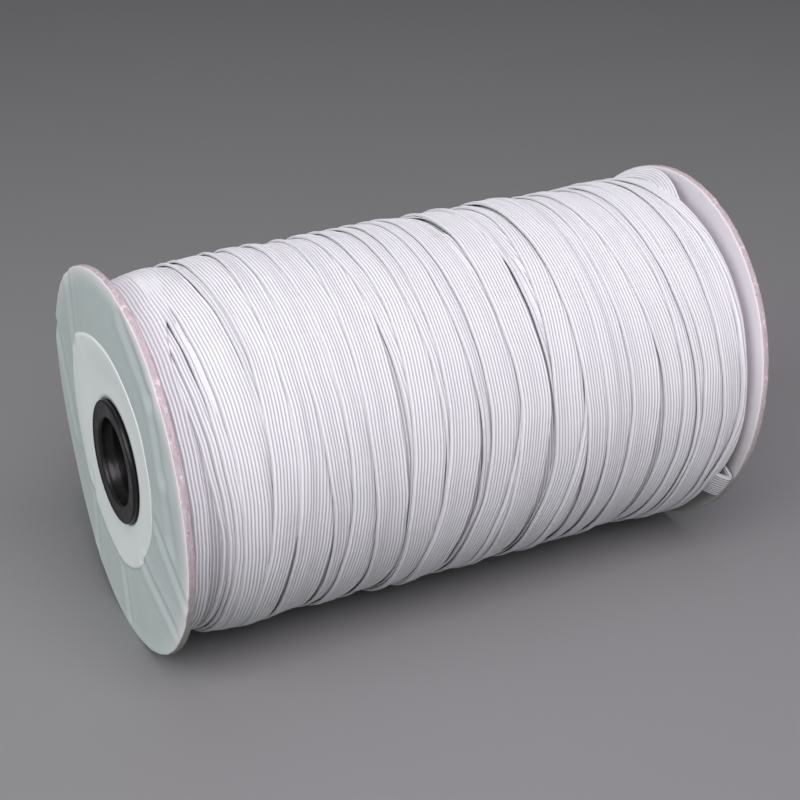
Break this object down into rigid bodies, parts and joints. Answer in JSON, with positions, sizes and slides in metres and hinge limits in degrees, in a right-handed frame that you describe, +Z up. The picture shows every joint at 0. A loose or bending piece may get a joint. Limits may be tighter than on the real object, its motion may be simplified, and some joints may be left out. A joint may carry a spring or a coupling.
{
  "type": "roll of elastic on a reel",
  "caption": "Flat braided elastic wound on a cardboard core between two round cardboard discs with black plastic bushes.",
  "frame": {"origin": "on the surface that the reel lies on, under the middle of its box", "axes": "+X along the reel's axis from the disc with the round paper to the plain disc, +Z up"},
  "size_m": [0.1606, 0.095, 0.0945],
  "materials": {
    "disc_board": "cardboard faced with pale grey-green paper, matt, with soft creases",
    "black_plastic": "moulded black plastic, satin to glossy",
    "core_board": "spiral-wound brown cardboard, matt",
    "round_paper": "plain off-white paper, matt",
    "elastic": "white braided elastic with lengthwise ribs, soft sheen"
  },
  "bodies": {
    "root": {"flange_near": "disc_board", "flange_far": "disc_board", "bush_near": "black_plastic", "bush_far": "black_plastic", "core_tube": "core_board", "paper_disc": "round_paper", "winding": "elastic", "loose_end": "elastic"}
  },
  "joints": []
}
